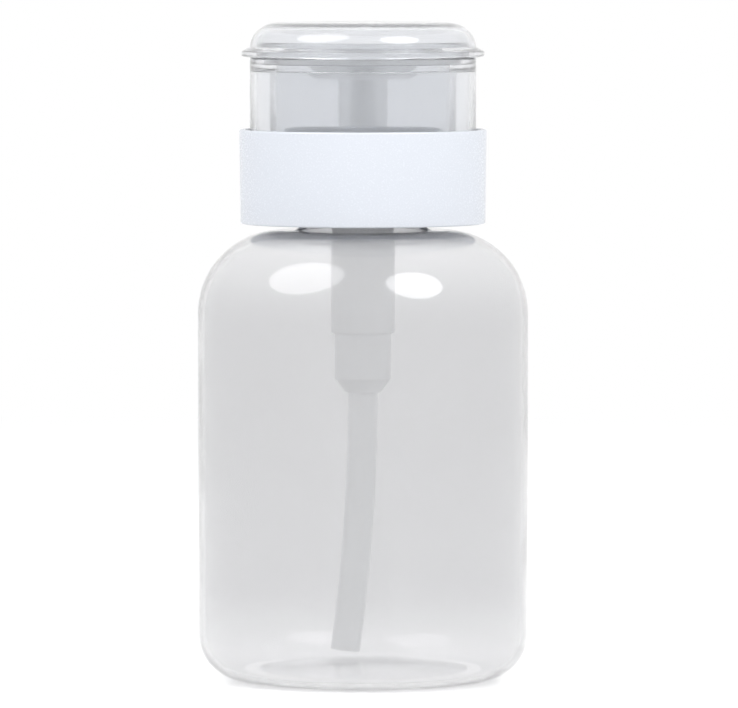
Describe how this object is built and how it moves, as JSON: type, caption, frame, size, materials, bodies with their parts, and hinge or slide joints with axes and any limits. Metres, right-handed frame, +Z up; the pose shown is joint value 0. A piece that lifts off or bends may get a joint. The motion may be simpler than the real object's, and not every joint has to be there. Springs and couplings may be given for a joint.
{
  "type": "push-down dispenser bottle",
  "caption": "Translucent round bottle with a wide screw collar and a spring-loaded pump whose clear dished head is pressed down to fill its dish, under a clear flip lid.",
  "frame": {"origin": "centre of the bottle's foot ring, on the surface it stands on", "axes": "+Z up along the axis of bottle and pump, -Y towards the front, +Y towards the lid's hinge"},
  "size_m": [0.066, 0.066, 0.1316],
  "materials": {
    "frosted_bottle": "satin",
    "milky_collar": "satin",
    "clear_plastic": "gloss",
    "natural_plastic": "satin",
    "tube": "satin",
    "seal": "matte",
    "spring_steel": "drawn wire",
    "ball_steel": "polished"
  },
  "bodies": {
    "bottle": {"bottle": "frosted_bottle"},
    "gasket": {"neck_gasket": "seal"},
    "pump": {"pump_barrel": "natural_plastic", "barrel_cap": "natural_plastic", "dip_tube": "tube", "return_spring": "spring_steel"},
    "collar": {"screw_collar": "milky_collar"},
    "piston": {"piston": "seal"},
    "head": {"press_sleeve": "clear_plastic", "dish": "natural_plastic", "outlet_button": "natural_plastic", "stem": "natural_plastic", "piston_retainer": "natural_plastic"},
    "lid": {"flip_lid": "clear_plastic"},
    "inlet_ball": {"inlet_ball": "ball_steel"},
    "outlet_ball": {"outlet_ball": "ball_steel"}
  },
  "joints": [
    {"name": "pump_lift", "type": "slide", "parent": "bottle", "child": "gasket", "axis": [0, 0, 1], "range_m": [0, 0.105]},
    {"name": "pump_rise", "type": "slide", "parent": "gasket", "child": "pump", "axis": [0, 0, 1], "range_m": [0, 0.0053]},
    {"name": "collar_turn", "type": "hinge", "parent": "pump", "child": "collar", "pos_m": [0, 0, 0.1], "axis": [0, 0, 1], "range_deg": [0, 450]},
    {"name": "head_press", "type": "slide", "parent": "pump", "child": "piston", "axis": [0, 0, -1], "range_m": [0, 0.009], "stiffness_N_per_m": 900, "springref_m": -0.004, "deforming": ["return_spring"]},
    {"name": "head_spin", "type": "hinge", "parent": "piston", "child": "head", "pos_m": [0, 0, 0.11], "axis": [0, 0, 1], "continuous": true},
    {"name": "lid_flip", "type": "hinge", "parent": "head", "child": "lid", "pos_m": [0, 0.025, 0.1246], "axis": [-1, 0, 0], "range_deg": [0, 125]},
    {"name": "inlet_ball_lift", "type": "slide", "parent": "pump", "child": "inlet_ball", "axis": [0, 0, 1], "range_m": [0, 0.0015]},
    {"name": "outlet_ball_lift", "type": "slide", "parent": "head", "child": "outlet_ball", "axis": [0, 0, 1], "range_m": [0, 0.0012]}
  ],
  "couplings": [
    {"joint": "pump_rise", "follows": "collar_turn", "m_per_rad": 0.00067323}
  ]
}
